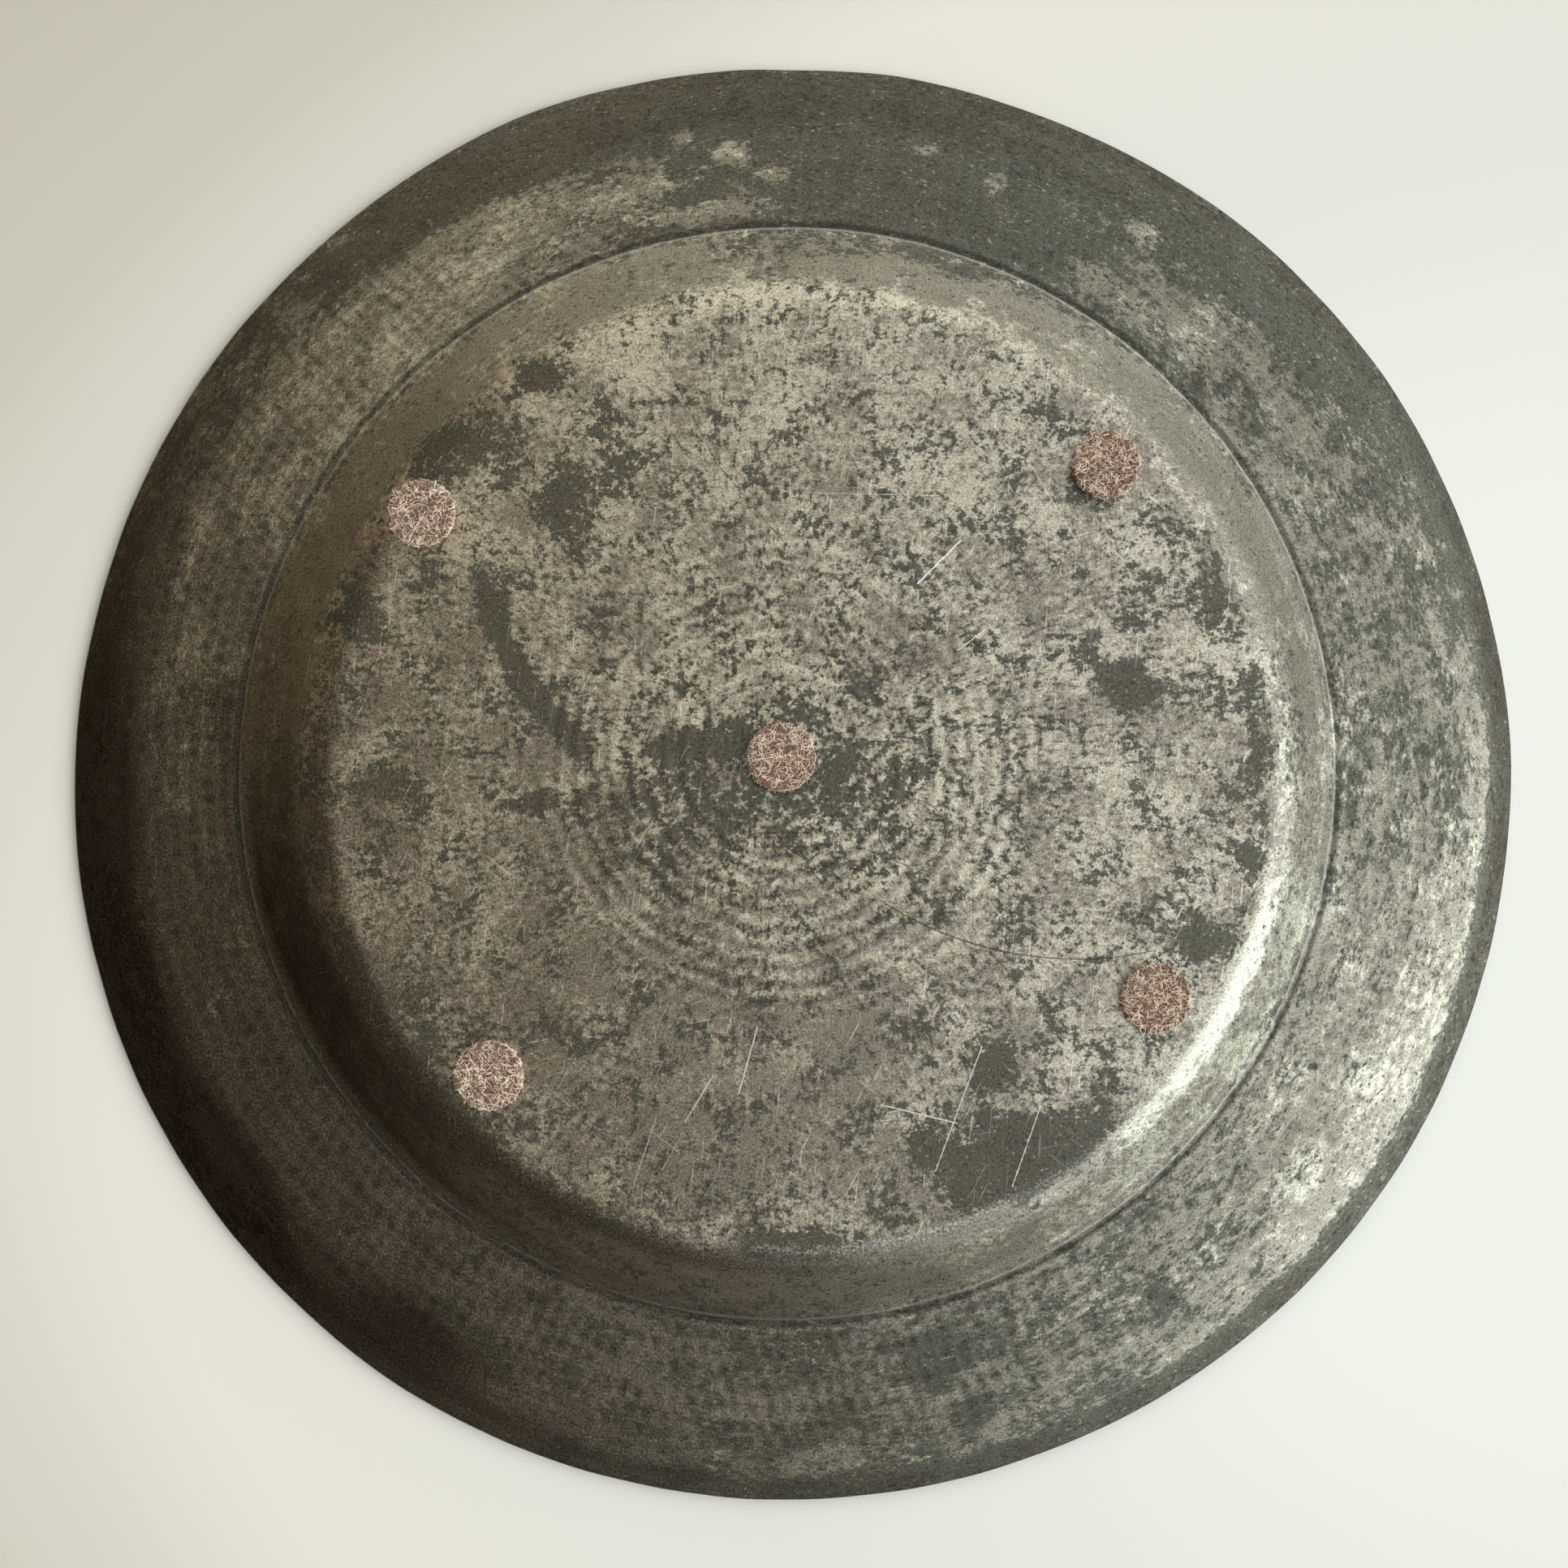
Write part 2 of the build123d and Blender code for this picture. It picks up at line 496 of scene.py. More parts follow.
def paintPlate(mesh):
    # what the material reads at each point of the sheet
    count = len(mesh.vertices)
    flat = np.empty(count * 3, dtype=np.float32)
    mesh.vertices.foreach_get("co", flat)
    points = flat.reshape(-1, 3) / mm
    x, y, z = points.T
    radius = np.hypot(x, y)
    bearing = np.degrees(np.arctan2(y, x))
    underside = np.empty(count, dtype=np.float32)
    mesh.attributes["underside"].data.foreach_get("value", underside)

    def patches(name):
        return sum(blob(x, y, place) * place[5] for place in stains[name])

    def sector(centre, halfWidth):
        return bearingBump(bearing, centre, halfWidth)

    onRim = smooth(radius, 156, 161)
    onBouge = smooth(radius, 134, 141) * (1 - smooth(radius, 153, 157))
    shoulderBand = 1 - smooth(radius, 146, 152)
    top = np.clip(sector(95, 42) + sector(48, 26) * 0.55, 0, 1)

    # film: thick over the top of the rim, thin at the upper left and on the bouge
    film = patches("film")
    film += 0.85 * top * smooth(radius, 186, 194) + 0.75 * sector(82, 30) * onRim
    film += 0.30 * sector(75, 22) * smooth(radius, 142, 152) * (1 - onRim)
    film += 0.13 * sector(270, 60) * onRim + 0.12 * sector(-15, 50) * onRim
    film -= 0.45 * sector(138, 34) * onRim * (1 - smooth(radius, 184, 193))
    film += 0.25 * smooth(radius, 128, 140) * (1 - onRim) * sector(225, 50)
    film -= onBouge * (0.32 - 0.30 * sector(82, 28) - 0.12 * sector(262, 40))
    film += smooth(radius, 201, 205) * (0.10 + 0.5 * sector(-60, 50) + 0.5 * sector(0, 40))
    film += 0.30 * sector(0, 18) * smooth(radius, 127, 132) * shoulderBand

    # grey metal instead of bright, mostly in the lower left of the base; on the bouge it is painted shade,
    # least towards the lit lower right
    dull = 0.26 * sector(230, 75) * smooth(radius, 32, 90) - 0.08 * sector(80, 50) * smooth(radius, 40, 90)
    dull += blob(x, y, (10, -85, 62, 40, 0)) * 0.22 - blob(x, y, (70, -70, 40, 30, 0)) * 0.2
    dull += blob(x, y, (8, 44, 40, 22, 0)) * 0.22 + 0.12 * sector(45, 30) * smooth(radius, 90, 110)
    dull += onBouge * (0.45 - 0.75 * sector(-27, 30)) + 0.12 * onRim

    # rubbed places, and painted highlights, as bright rubbed metal, low on the right of the rim
    outerRim = smooth(radius, 180, 191) * (1 - smooth(radius, 200, 205))
    clean = patches("clean") + 0.22 * sector(-29, 20) * onRim + 0.4 * sector(-30, 17) * outerRim
    clean += 0.2 * smooth(radius, 203, 208) * sector(90, 60)
    clean += 0.08 * sector(136, 30) * smooth(radius, 160, 166) * (1 - smooth(radius, 180, 190))
    clean += 0.35 * smooth(radius, 131, 137) * shoulderBand * sector(60, 24)

    # brownish black on the left side, partly soot and partly painted shade where the room is dark, and darker
    # along the edge on the right
    soot = patches("soot") * 0.7 + 0.6 * sector(190, 52) * smooth(radius, 182, 204)
    soot += 0.35 * sector(-15, 60) * smooth(radius, 202, 206)
    soot += 0.38 * sector(200, 62) * onRim + 0.8 * sector(205, 40) * onBouge

    # wear specks round the off-centre base, and a painted highlight on the shoulder at the lower right, where
    # the film is thinner and the metal brighter
    edge = np.hypot(x - outOfTrue["wellShift"][0], y - outOfTrue["wellShift"][1])
    worn = 0.5 * sector(190, 34) + 0.25 * sector(-10, 60) + 0.75 * sector(280, 34) + 0.4 * sector(72, 34)
    shoulderHighlight = np.exp(-(((edge - 133.4) / 1.7) ** 2)) * (sector(-33, 20) + 0.3 * sector(5, 25))
    gleam = np.exp(-(((edge - 131.5) / 3.0) ** 2)) * worn + 0.4 * shoulderHighlight
    film -= 0.4 * shoulderHighlight
    clean += 0.5 * shoulderHighlight
    for name, values in (("film", film), ("clean", clean), ("soot", soot), ("dull", dull), ("gleam", gleam)):
        setAttribute(mesh, name, values * underside)


# Pewter
pewter = {
    "bright": (0.525, 0.490, 0.390),
    "middle": (0.212, 0.190, 0.153),
    "film": (0.093, 0.091, 0.070),
    # near black of the soot and of the painted shade on the dark left, also used for dark scratches
    "soot": (0.036, 0.026, 0.017),
    "scratch": (0.95, 0.93, 0.86),
    "shadedLeftTint": (1.09, 1.0, 0.90),  # painted light: warmer on the shaded left and cooler on the lit right; greener on the bouge and rim
    "litRightTint": (0.965, 1.0, 1.03),
    "wallTint": (0.965, 1.0, 0.99),
    "shoulder": 135.0,  # past this radius in millimetres the pattern is wrapped round the plate
    "coarse": (0.085, 7.0, 0.72, 0.0),  # scale per millimetre, detail, roughness, distortion
    "flecks": (0.42, 5.0, 0.74, 0.0),
    "specks": (0.85, 2.0, 0.6),
    "clouds": (0.06, 4.0, 0.66),
    "grain": (1.5, 1.5, 0.6),
    "filmEdge": 0.011,  # half-width of the step from metal to film
    "filmLevel": 0.530,
    "roughness": 0.38,
    "padRing": ((37.0, -21.0, 0.0), 9.2),  # middle and radius of the ring left by an earlier felt pad
    "longArc": ((82.0, 42.0, 0.0), 98.0),
    "touchMark": ((1.0, -23.0), (7.9, 1.9)),  # middle and half-sizes of the plain frame
}

scratches = (  # start x, y, end x, y in millimetres, half-width, strength
    (39, 49, 51, 61, 0.16, 1.0), (50, 30, 58, 36, 0.12, 0.7), (28, -96, 49, -101, 0.15, 0.65),
    (56, -80, 43, -114, 0.12, 0.6), (-6, -75, -11, -93, 0.14, 0.8), (-18, -88, -26, -101, 0.13, 0.7),
    (10, 75, 45, 74, 0.08, 0.5), (-40, -118, -34, -100, 0.1, 0.5), (84, 60, 70, 84, 0.08, 0.5),
    (72, -96, 64, -118, 0.11, 0.6), (-75, 92, -58, 60, 0.1, -0.8), (-30, 108, -18, 84, 0.1, -0.8),
    (-18, 84, 2, 60, 0.1, -0.7), (12, 100, 22, 82, 0.09, -0.7))

# turn, scale, stretch and threshold of each field of fine scratches
scratchFields = ((84, 1.5, 26, 0.69), (62, 1.3, 22, 0.70), (-38, 1.4, 24, 0.71), (12, 1.5, 22, 0.72))


def segmentDistance(graph, here, start, end):
    corner = Vector((*start, 0.0))
    along = Vector((*end, 0.0)) - corner
    offset = graph.vectorSum("SUBTRACT", here, tuple(corner))
    unit = tuple(along / along.length_squared)
    share = graph.vectorSum("DOT_PRODUCT", offset, unit, output="Value").clamped()
    foot = graph.vector(share * along.x, share * along.y, 0.0)
    return graph.vectorSum("DISTANCE", offset, foot, output="Value")


def fineScratches(graph, here, turn, scale, stretch, low):
    turned = graph.node("ShaderNodeMapping", {"vector_type": "TEXTURE"}, {
        "Vector": here, "Rotation": (0.0, 0.0, radians(turn)), "Scale": (stretch / scale, 1 / scale, 1.0)})
    return graph.noise(turned, 1.0, 1.0, 0.5, 0.15).step(low, low + 0.06)


def pewterMaterial():
    material, graph = newMaterial("agedPewter")
    place = graph.node("ShaderNodeTexCoord", None, None, "Object").scaled(1 / mm)
    x = graph.node("ShaderNodeSeparateXYZ", None, {0: place}, "X")
    y = x.other("Y")
    here = graph.vector(x, y, 0.0)
    radius = here.length()

    def painted(name):
        return graph.node("ShaderNodeAttribute", {"attribute_name": name}, None, "Fac")

    film, clean, soot, dull, gleam, hollow, ringed = (
        painted(name) for name in ("film", "clean", "soot", "dull", "gleam", "hollow", "ringed"))

    # past the shoulder the pattern is drawn out along the turning
    shrink = graph.sum("MINIMUM", radius, pewter["shoulder"]) / radius
    outward = graph.sum("MAXIMUM", radius - pewter["shoulder"], 0.0)
    pattern = graph.vector(x * shrink, y * shrink, outward * 1.5)
    onWall = outward.step(0.0, 5.0)

    moved = graph.vectorSum("ADD", pattern, (71.0, 13.0, 5.0))
    coarse = graph.noise(pattern, *pewter["coarse"])
    flecks = graph.noise(pattern, *pewter["flecks"])
    specks = graph.noise(pattern, *pewter["specks"])
    clouds = graph.noise(moved, *pewter["clouds"])
    grain = graph.noise(here, *pewter["grain"])

    # how much of each tone there is
    bias = film * 0.22 - clean * 0.22
    edge = onWall * 0.020 + pewter["filmEdge"]
    level = pewter["filmLevel"]
    ragged = coarse * 0.5 + flecks * 0.5 + bias
    filmShare = graph.node("ShaderNodeMapRange", {"interpolation_type": "SMOOTHSTEP"}, {
        "Value": ragged, "From Min": level - edge, "From Max": edge + level})
    # the grey tone also carries the painted shade on the bouge
    middleShare = clouds * 0.42 + flecks * 0.58 + bias * 0.6 + dull * 0.16 + onWall * 0.05
    middleShare = middleShare.step(0.41, 0.57) * 0.9
    # soot and painted shade on the dark left side
    sootAndShadeShare = (soot + (ragged - 0.5) * 1.4).step(0.10, 1.00) * 0.9
    darkSpeck = (specks + flecks * 0.3 + film * 0.03).step(0.77, 0.81)
    lightSpeck = (flecks * 0.4 - specks + clean * 0.1).step(-0.15, -0.11)

    colour = graph.blend(middleShare, pewter["bright"], pewter["middle"])
    colour = colour.mixed(pewter["film"], filmShare * (0.94 - onWall * 0.08))
    colour = colour.mixed(tuple(c * 1.6 for c in pewter["middle"]), lightSpeck * filmShare * 0.8)
    colour = colour.mixed(pewter["soot"], sootAndShadeShare)
    colour = colour.mixed(tuple(c * 0.5 for c in pewter["film"]), darkSpeck * 0.75)

    # light and shade of the grain, the turned rings, the hammer marks and the fold
    turning = graph.sum("SINE", radius * tau / hammer["Ring pitch"] + clouds * 4) * ringed
    shade = 1.0 + (grain - 0.5) * 2.0 + (coarse - 0.5) * -0.5 + turning * 0.30
    shade = shade * (1 - (hollow * clouds * 0.7).clamped())
    foldDark = 1 - (radius - 158.7 + (clouds - 0.5) * 1.5).size().step(0.4, 1.9)
    colour = colour.scaled(shade * (1 - foldDark * 0.55))
    # painted light: the colour turns from the warm cast of the shaded left to the cool cast of the lit right
    tint = graph.blend(x.step(-170.0, 110.0), pewter["shadedLeftTint"], pewter["litRightTint"])
    colour = graph.vectorSum("MULTIPLY", colour, tint)
    colour = colour.mixed(graph.vectorSum("MULTIPLY", colour, pewter["wallTint"]), onWall)

    # bright and dark scratches, the worn shoulder with its painted highlight, and a painted highlight on the
    # lip at the fold
    fine = None
    for turn, scale, stretch, low in scratchFields:
        share = fineScratches(graph, here, turn, scale, stretch, low)
        fine = share if fine is None else fine.most(share)
    bright = fine * 0.42 * (1 - onWall * 0.8) * (1 - filmShare * 0.65)
    dark = None
    for startX, startY, endX, endY, halfWidth, strength in scratches:
        away = segmentDistance(graph, here, (startX, startY), (endX, endY)) + (specks - 0.5) * 0.35
        share = (1 - away.step(halfWidth * 0.5, halfWidth * 1.8)) * abs(strength)
        if strength > 0:
            bright = bright.most(share)
        else:
            dark = share if dark is None else dark.most(share)
    # bright wear specks, with the painted highlight on the shoulder at the lower right
    worn = (gleam * 0.5 + specks * 0.5 + grain * 0.6 + flecks * 0.7 - 0.9).step(0.25, 0.75) * gleam.clamped()
    # painted highlight: a thin bright line where the lip at the fold catches the light
    foldHighlight = 1 - (radius - 157.4 + (clouds - 0.5) * 0.8).size().step(0.15, 0.60)
    bright = bright.most(worn * 0.8).most(foldHighlight * 0.16)

    # ring left by an earlier felt pad, and one long curved scratch
    ringMiddle, ringRadius = pewter["padRing"]
    arcMiddle, arcRadius = pewter["longArc"]
    padRing = graph.vectorSum("DISTANCE", here, ringMiddle, output="Value") - ringRadius
    longArc = graph.vectorSum("DISTANCE", here, arcMiddle, output="Value") - arcRadius
    ringLine = 1 - padRing.size().step(0.08, 0.32)
    arcEnds = x.step(24.0, 32.0) * (1 - x.step(98.0, 108.0)) * (1 - y.step(-36.0, -30.0))
    arcLine = (1 - longArc.size().step(0.06, 0.3)) * arcEnds
    dark = dark.most((ringLine * 0.6).most(arcLine * 0.8))

    # plain sunk frame of a worn touch mark, with nothing in it
    (markX, markY), (halfLength, halfWidth) = pewter["touchMark"]
    frameEdge = ((x - markX).size() - halfLength).most((y - markY).size() - halfWidth)
    frameLine = 1 - (frameEdge + (specks - 0.5) * 0.5).size().step(0.10, 0.45)
    dark = dark.most(frameLine * 0.6)

    colour = colour.mixed(pewter["soot"], dark * 0.85)
    colour = colour.mixed(pewter["scratch"], bright)

    roughness = filmShare * 0.10 + (grain - 0.5) * 0.3 + darkSpeck * 0.1 - bright * 0.06 + pewter["roughness"]
    relief = flecks * 0.5 + grain * 0.35 - dark * 0.5 - bright * 0.2
    bump = graph.node("ShaderNodeBump", None, {"Strength": 0.5, "Distance": 0.00022, "Height": relief})
    endSurface(graph, {
        "Base Color": colour, "Metallic": 1 - filmShare * 0.12, "Roughness": roughness, "Normal": bump})
    return material


def makePlate():
    points, faces, underside = plateBlank()
    points = bendOutOfTrue(points, underside)
    mesh = bpy.data.meshes.new("plateBlank")
    mesh.from_pydata((points * mm).tolist(), [], faces)
    radius = np.hypot(points[:, 0], points[:, 1])
    bearing = np.degrees(np.arctan2(points[:, 1], points[:, 0]))
    rim = smooth(radius, 159.5, 163) * (1 - 0.75 * smooth(radius, 191, 197)) * (1 - smooth(radius, 202, 206))
    bouge = 0.45 * smooth(radius, 133, 139) * (1 - smooth(radius, 150, 155))
    quiet = 1 - 0.6 * bearingBump(bearing, 85, 28) * smooth(radius, 156, 160)
    setAttribute(mesh, "work", (rim + bouge) * quiet * underside)
    ringed = smooth(radius, 16, 24) * (1 - smooth(radius, 62, 80))
    setAttribute(mesh, "ringed", ringed * (0.75 + 0.25 * np.cos(np.radians(bearing + 60))) * underside)
    setAttribute(mesh, "underside", underside)
    blank = bpy.data.objects.new("plateBlank", mesh)
    bpy.context.scene.collection.objects.link(blank)
    material = pewterMaterial()
    plateSheet = runNodes(blank, hammerTree(material), hammer, "plate_sheet")
    paintPlate(plateSheet.data)
    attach(plateSheet, "root")
    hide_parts("plate_body")
    triangles = sum(len(face.vertices) - 2 for face in plateSheet.data.polygons)
    print("plate:", len(plateSheet.data.vertices), "points,", triangles, "triangles")


# Felt pads
felt = {
    "places": ("centre", "right_back", "left_back", "left_front", "right_front"),
    "sink": 0.30,  # millimetres that the pressed body stays under the top of its box
    "segments": 96,
    "body": (0.165, 0.086, 0.052),
    "bodyDeep": (0.050, 0.024, 0.015),
    "fibrePale": (0.98, 0.84, 0.68),
    "fibreRose": (0.32, 0.185, 0.122),
}

fibres = {
    "Fibres per area": 2.6e6,  # per square metre
    "Fibre length": 2.3 * mm,
    "Fibre radius": 0.085 * mm,
    "Curl": 0.50 * mm,
    "Seed": 3,
}


def feltBodyMaterial():
    material, graph = newMaterial("pressedFelt")
    place = graph.node("ShaderNodeTexCoord", None, None, "Object").scaled(1 / mm)
    clumps = graph.noise(place, 0.55, 5.0, 0.7, 1.2)
    hairs = graph.noise(place, 3.2, 4.0, 0.7, 2.5)
    stops = ((0.36, felt["bodyDeep"]), (0.52, felt["body"]), (0.70, felt["fibreRose"]))
    tone = graph.node("ShaderNodeValToRGB", {"stops": stops}, {0: clumps * 0.5 + hairs * 0.5})
    bump = graph.node("ShaderNodeBump", None, {
        "Strength": 0.9, "Distance": 0.0004, "Height": hairs + clumps * 0.6})
    endSurface(graph, {
        "Base Color": tone, "Roughness": 0.95, "Normal": bump, "Sheen Weight": 0.25, "Sheen Roughness": 0.5})
    return material


def fibreMaterial():
    material, graph = newMaterial("feltFibre")
    strand = graph.node("ShaderNodeAttribute", {"attribute_name": "strand"}, None, "Fac")
    palest = tuple(c * 1.1 for c in felt["fibrePale"])
    stops = ((0.0, felt["fibreRose"]), (0.30, felt["fibreRose"]), (0.6, felt["fibrePale"]), (1.0, palest))
    tone = graph.node("ShaderNodeValToRGB", {"stops": stops}, {0: strand})
    endSurface(graph, {"Base Color": tone, "Roughness": 0.85, "Sheen Weight": 0.2})
    return material


def fibreTree(bodyMaterial, strandMaterial):
    tree = bpy.data.node_groups.new("feltFibres", "GeometryNodeTree")
    kinds = {"Fibres per area": "NodeSocketFloat", "Fibre length": "NodeSocketFloat",
             "Fibre radius": "NodeSocketFloat", "Curl": "NodeSocketFloat", "Seed": "NodeSocketInt"}
    tree.interface.new_socket(name="Geometry", in_out="INPUT", socket_type="NodeSocketGeometry")
    for name, kind in kinds.items():
        tree.interface.new_socket(name=name, in_out="INPUT", socket_type=kind)
    tree.interface.new_socket(name="Geometry", in_out="OUTPUT", socket_type="NodeSocketGeometry")
    graph = Wire(tree)
    given = graph.node("NodeGroupInput")
    length, seed = given.other("Fibre length"), given.other("Seed")
    spread = graph.node("GeometryNodeDistributePointsOnFaces", None, {
        "Mesh": given, "Density": given.other("Fibres per area"), "Seed": seed})
    line = graph.node("GeometryNodeCurvePrimitiveLine", None, {
        "Start": graph.vector(length * -0.5), "End": graph.vector(length * 0.5)})
    bent = graph.node("GeometryNodeResampleCurve", None, {"Curve": line, "Count": 6})
    spin = graph.node("FunctionNodeRandomValue", {"data_type": "FLOAT_VECTOR"}, {
        0: (-0.12, -0.12, 0.0), 1: (0.12, 0.12, tau), "Seed": seed})
    twist = graph.node("FunctionNodeEulerToRotation", None, {0: spin})
    facing = graph.node("FunctionNodeRotateRotation", {"rotation_space": "LOCAL"}, {
        "Rotation": spread.other("Rotation"), "Rotate By": twist})
    size = graph.node("FunctionNodeRandomValue", {"data_type": "FLOAT"}, {2: 0.55, 3: 1.25, "Seed": seed}, 1)
    strewn = graph.node("GeometryNodeInstanceOnPoints", None, {
        "Points": spread, "Instance": bent, "Rotation": facing, "Scale": size})
    chance = graph.node("FunctionNodeRandomValue", {"data_type": "FLOAT"}, {2: 0.0, 3: 1.0, "Seed": 11}, 1)
    clump = graph.noise(graph.node("GeometryNodeInputPosition"), 750.0, 2.0, 0.6)
    marked = graph.node("GeometryNodeStoreNamedAttribute", {"data_type": "FLOAT", "domain": "INSTANCE"}, {
        "Geometry": strewn, "Name": "strand", "Value": chance * 0.45 + clump.step(0.40, 0.60) * 0.55})
    real = graph.node("GeometryNodeRealizeInstances", None, {"Geometry": marked})
    strand = graph.node("GeometryNodeInputNamedAttribute", {"data_type": "FLOAT"}, {"Name": "strand"})
    where = graph.node("GeometryNodeInputPosition")
    apart = graph.vector(strand * 71, strand * 37, strand * 53)
    curl = graph.noise(graph.vectorSum("ADD", where.scaled(900.0), apart), 1.0, 1.0).other("Color")
    push = graph.vectorSum("MULTIPLY", graph.vectorSum("SUBTRACT", curl, (0.5, 0.5, 0.44)), (2.0, 2.0, 0.5))
    curled = graph.node("GeometryNodeSetPosition", None, {
        "Geometry": real, "Offset": push.scaled(given.other("Curl"))})
    section = graph.node("GeometryNodeCurvePrimitiveCircle", None, {
        "Resolution": 3, "Radius": given.other("Fibre radius")})
    tubes = graph.node("GeometryNodeCurveToMesh", None, {"Curve": curled, "Profile Curve": section})
    joined = graph.node("GeometryNodeJoinGeometry")
    for part, material in ((given, bodyMaterial), (tubes, strandMaterial)):
        dressed = graph.node("GeometryNodeSetMaterial", None, {"Geometry": part, "Material": material})
        tree.links.new(dressed.socket, joined.socket.node.inputs[0])
    graph.node("NodeGroupOutput", None, {"Geometry": joined})
    return tree


def padBody(box, seed):
    # a pressed disc with a soft, slightly ragged edge
    low, high = box
    centreX, centreY = (low[0] + high[0]) / 2 / mm, (low[1] + high[1]) / 2 / mm
    outer = (high[0] - low[0]) / 2 / mm - 0.12
    bottom, top = low[2] / mm, high[2] / mm - felt["sink"]
    thick = top - bottom
    rows = [(outer * share, top) for share in np.linspace(0.08, 0.93, 13)]
    rows += [(outer - 0.35, top - 0.05), (outer - 0.1, top - 0.22), (outer, top - 0.5)]
    rows += [(outer, top - thick * 0.5), (outer - 0.05, bottom + 0.25), (outer - 0.3, bottom)]
    rows += [(outer * share, bottom) for share in (0.6, 0.2)]
    dice = np.random.default_rng(seed)
    lobes = [(dice.integers(3, 24), dice.uniform(0, tau), dice.uniform(0.01, 0.06)) for _ in range(9)]
    points = [(centreX, centreY, top)]
    faces = []
    count = felt["segments"]
    for index, (radius, height) in enumerate(rows):
        start = len(points)
        for j in range(count):
            angle = tau * j / count
            ragged = sum(size * sin(waves * angle + phase) for waves, phase, size in lobes)
            lump = 0.0 if height < top - 0.3 else dice.uniform(-0.07, 0.05)
            reach = radius + ragged * smooth(radius, 7.0, 9.3)
            points.append((centreX + reach * cos(angle), centreY + reach * sin(angle), height + lump))
        for j in range(count):
            k = (j + 1) % count
            if index == 0:
                faces.append((0, start + j, start + k))
            else:
                faces.append((start - count + j, start + j, start + k, start - count + k))
    last = len(points)
    points.append((centreX, centreY, bottom))
    faces += [(last - count + j, last, last - count + (j + 1) % count) for j in range(count)]
    mesh = bpy.data.meshes.new("padBody")
    mesh.from_pydata((np.array(points) * mm).tolist(), [], faces)
    return mesh


def makePads():
    tree = fibreTree(feltBodyMaterial(), fibreMaterial())
    for index, place in enumerate(felt["places"]):
        blank = bpy.data.objects.new("padBlank", padBody(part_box("felt_pad_" + place), 20 + index))
        bpy.context.scene.collection.objects.link(blank)
        pad = runNodes(blank, tree, dict(fibres, Seed=fibres["Seed"] + index), "felt_" + place)
        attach(pad, "root")
        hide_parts("felt_pad_" + place)
    print("felt pads:", len(felt["places"]))


# Adhesive under the pads
adhesive = {
    "deep": (0.60, 0.55, 0.42),
    "pale": (0.78, 0.73, 0.6),
}


def makeAdhesive():
    material, graph = newMaterial("adhesiveFilm")
    place = graph.node("ShaderNodeTexCoord", None, None, "Object").scaled(1 / mm)
    cloudy = graph.noise(place, 0.6, 4.0, 0.6)
    stops = ((0.3, adhesive["deep"]), (0.7, adhesive["pale"]))
    tone = graph.node("ShaderNodeValToRGB", {"stops": stops}, {0: cloudy})
    bump = graph.node("ShaderNodeBump", None, {"Strength": 0.3, "Distance": 0.0001, "Height": cloudy})
    endSurface(graph, {"Base Color": tone, "Roughness": 0.35 + cloudy * 0.2, "Normal": bump})
    for name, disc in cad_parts.items():
        if name.startswith("adhesive_disc"):
            for slot in disc.material_slots:
                slot.material = material
    print("adhesive discs dressed")


# Floor, light and camera
stage = {
    "floorRadius": 15.0,  # metres
    "floorSides": 64,
    "paintedLightPool": (0.30, -0.09, 0.0),  # middle of the pool of light painted on the floor, which is drawn in along y by 1.5
    "paintedLightTones": (  # distance from the middle of the painted pool of light, and the tone of the paper lit there
        (0.20, (0.82, 0.82, 0.78)), (0.385, (0.73, 0.73, 0.67)), (0.50, (0.735, 0.725, 0.66)),
        (0.60, (0.565, 0.545, 0.47)), (0.72, (0.505, 0.485, 0.415))),
    "lobes": (  # bearing, degrees from overhead, tightness, strength, colour
        (-24, 72, 5.5, 2.3, (0.94, 1.0, 1.06)), (-21, 46, 16.0, 2.3, (0.96, 1.0, 1.03)),
        (52, 88, 4.5, 1.2, (1.0, 1.0, 0.97)), (138, 85, 6.0, 0.30, (1.03, 0.90, 0.70))),
    "roomBright": (0.87, 0.865, 0.835),
    "roomDark": (0.041, 0.026, 0.013),
    "shadeAzimuth": 206.0,  # the dark side of the room
    "shadeFrom": -0.12,
    "shadeTo": 0.38,
    "backdrop": (0.60, 0.575, 0.50),
}

camera = {
    "aim": (0.47, -5.5, 0.0),  # millimetres
    "towardsEye": (0.0357, -0.073, 1.0),
    "height": 0.550,  # metres
    "lens": 43.25,
}


def makeFloor():
    reach, sides = stage["floorRadius"], stage["floorSides"]
    turns = [tau * j / sides for j in range(sides)]
    corners = [(reach * cos(turn), reach * sin(turn), 0.0) for turn in turns]
    mesh = bpy.data.meshes.new("paperFloor")
    mesh.from_pydata(corners, [], [tuple(range(sides))])
    floor = bpy.data.objects.new("paper_floor", mesh)
    bpy.context.scene.collection.objects.link(floor)
    material, graph = newMaterial("palePaper")
    place = graph.node("ShaderNodeTexCoord", None, None, "Object")
    away = graph.vectorSum("MULTIPLY", place, (1.0, 1.5, 0.0))
    away = graph.vectorSum("DISTANCE", away, stage["paintedLightPool"], output="Value")
    # painted light and shade: the paper is brightest round the pool's middle and greyer further away
    tone = graph.node("ShaderNodeValToRGB", {"stops": stage["paintedLightTones"]}, {0: away})
    endSurface(graph, {"Base Color": tone, "Roughness": 0.9, "Specular IOR Level": 0.2})
    mesh.materials.append(material)
    print("floor:", reach, "m")


def skyDirection(azimuth, fromZenith):
    a, e = radians(azimuth), radians(fromZenith)
    return (sin(e) * cos(a), sin(e) * sin(a), cos(e))


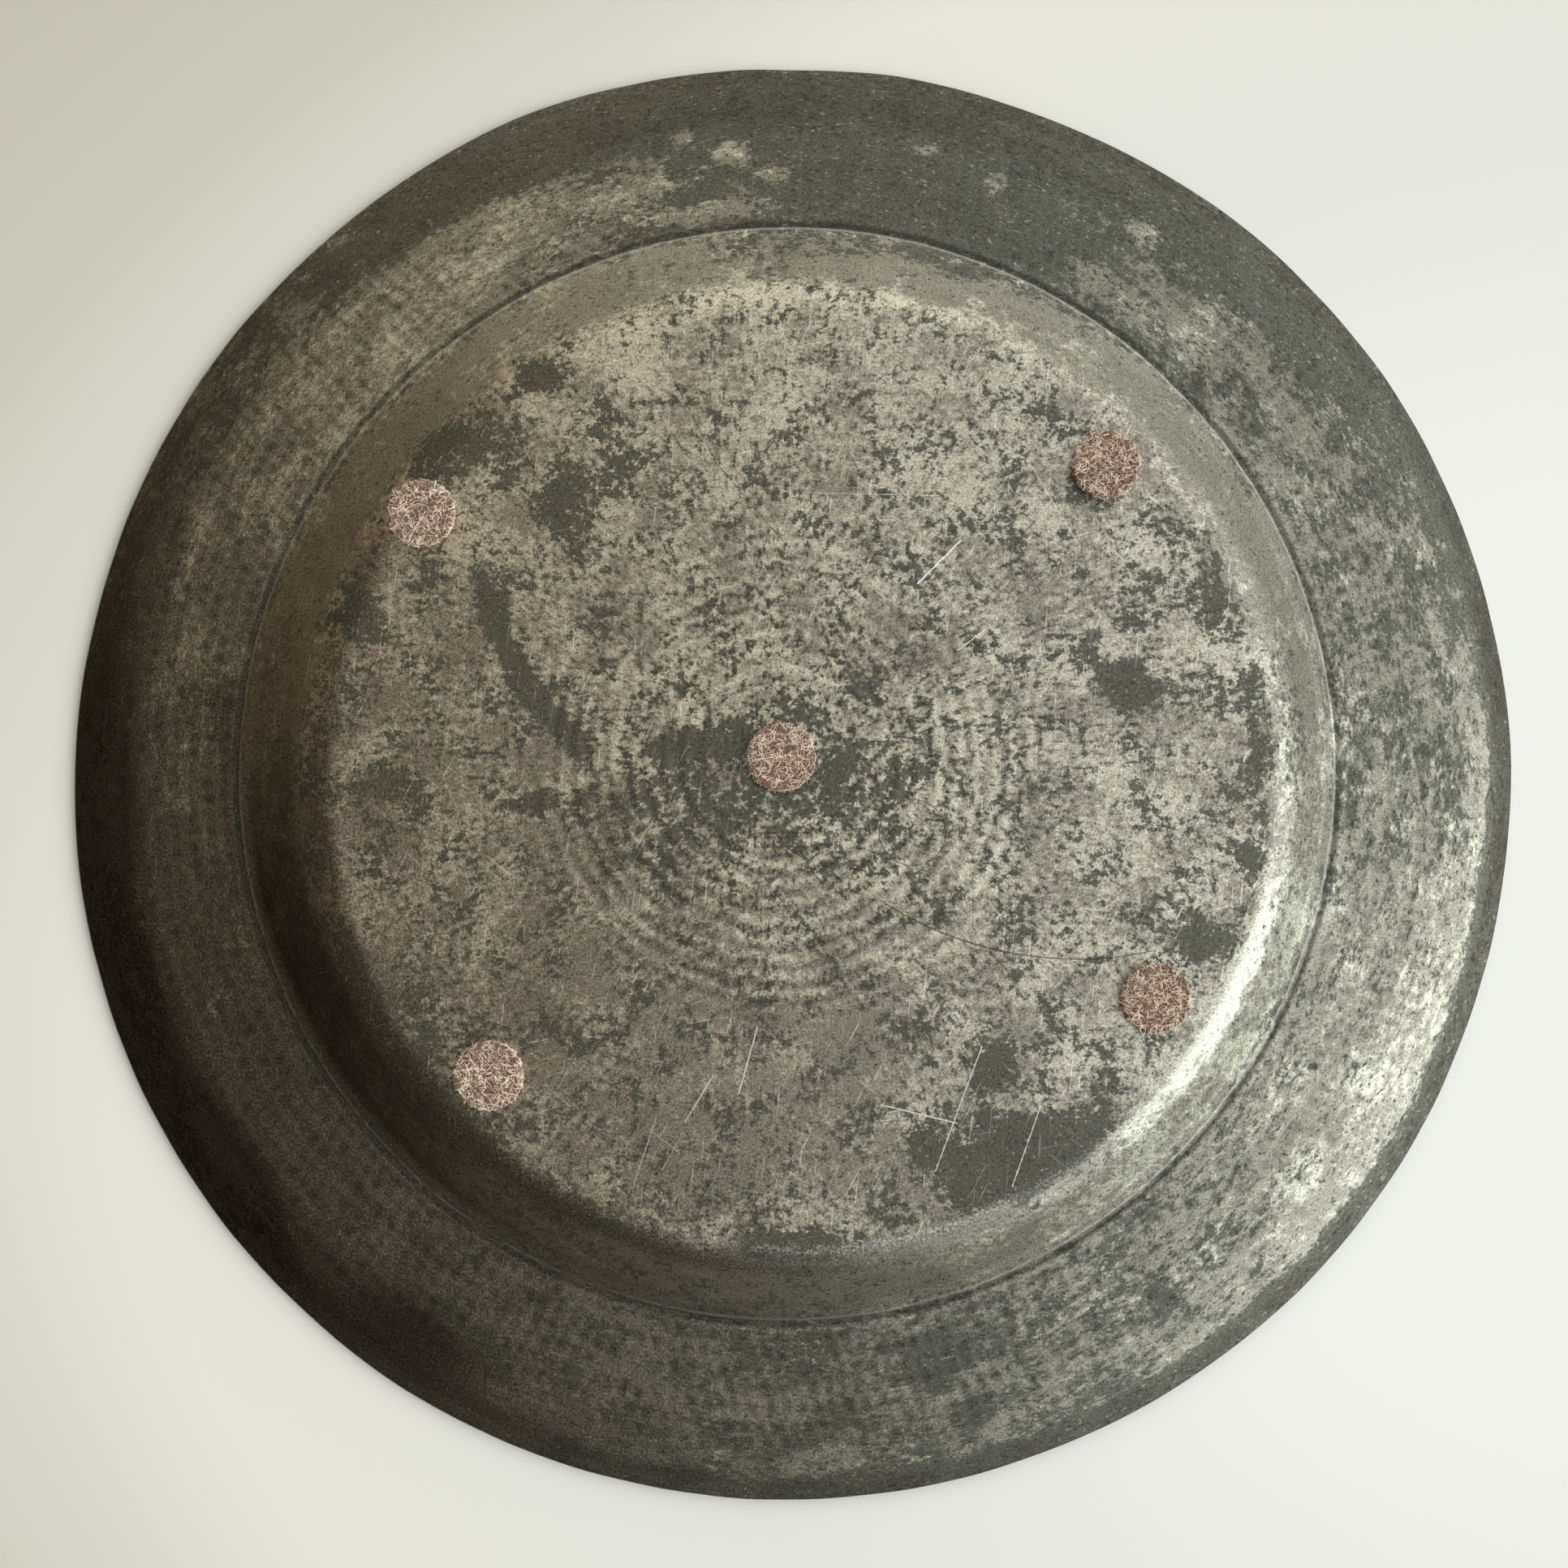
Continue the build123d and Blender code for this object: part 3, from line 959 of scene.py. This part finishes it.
def makeLight():
    world = bpy.data.worlds.new("softStudio")
    bpy.context.scene.world = world
    world.use_nodes = True
    world.node_tree.nodes.clear()
    graph = Wire(world.node_tree)
    look = graph.node("ShaderNodeTexCoord", None, None, "Generated")

    def facing(azimuth, fromZenith):
        return graph.vectorSum("DOT_PRODUCT", look, skyDirection(azimuth, fromZenith), output="Value")

    shade = facing(stage["shadeAzimuth"], 90.0).step(stage["shadeFrom"], stage["shadeTo"])
    bright = graph.blend(shade, stage["roomBright"], stage["roomDark"])
    for azimuth, fromZenith, tightness, strength, tint in stage["lobes"]:
        lobe = graph.sum("EXPONENT", (facing(azimuth, fromZenith) - 1) * tightness)
        bright = graph.vectorSum("ADD", bright, graph.vector(*(lobe * strength * share for share in tint)))
    lit = graph.node("ShaderNodeBackground", None, {"Color": bright, "Strength": 1.0})
    seen = graph.node("ShaderNodeBackground", None, {"Color": (*stage["backdrop"], 1.0), "Strength": 1.0})
    picked = graph.node("ShaderNodeMixShader", None, {
        0: graph.node("ShaderNodeLightPath", None, None, "Is Camera Ray"), 1: lit, 2: seen})
    graph.node("ShaderNodeOutputWorld", None, {"Surface": picked})
    print("light:", len(stage["lobes"]), "lobes")


def makeCamera():
    aim = Vector(camera["aim"]) * mm
    eye = aim + Vector(camera["towardsEye"]) * camera["height"]
    forward = (aim - eye).normalized()
    right = forward.cross(Vector((0, 1, 0))).normalized()
    up = right.cross(forward)
    data = bpy.data.cameras.new("overheadCamera")
    data.lens = camera["lens"]
    data.sensor_width = 36.0
    data.clip_start = 0.01
    data.clip_end = 50.0
    overhead = bpy.data.objects.new("overheadCamera", data)
    bpy.context.scene.collection.objects.link(overhead)
    turned = Matrix((right, up, -forward)).transposed().to_4x4()
    overhead.matrix_world = Matrix.Translation(eye) @ turned
    bpy.context.scene.camera = overhead
    print("camera:", camera["lens"], "mm lens")


makeCamera()
makeFloor()
makeLight()
makePlate()
makePads()
makeAdhesive()
bpy.context.scene.view_settings.view_transform = "Standard"
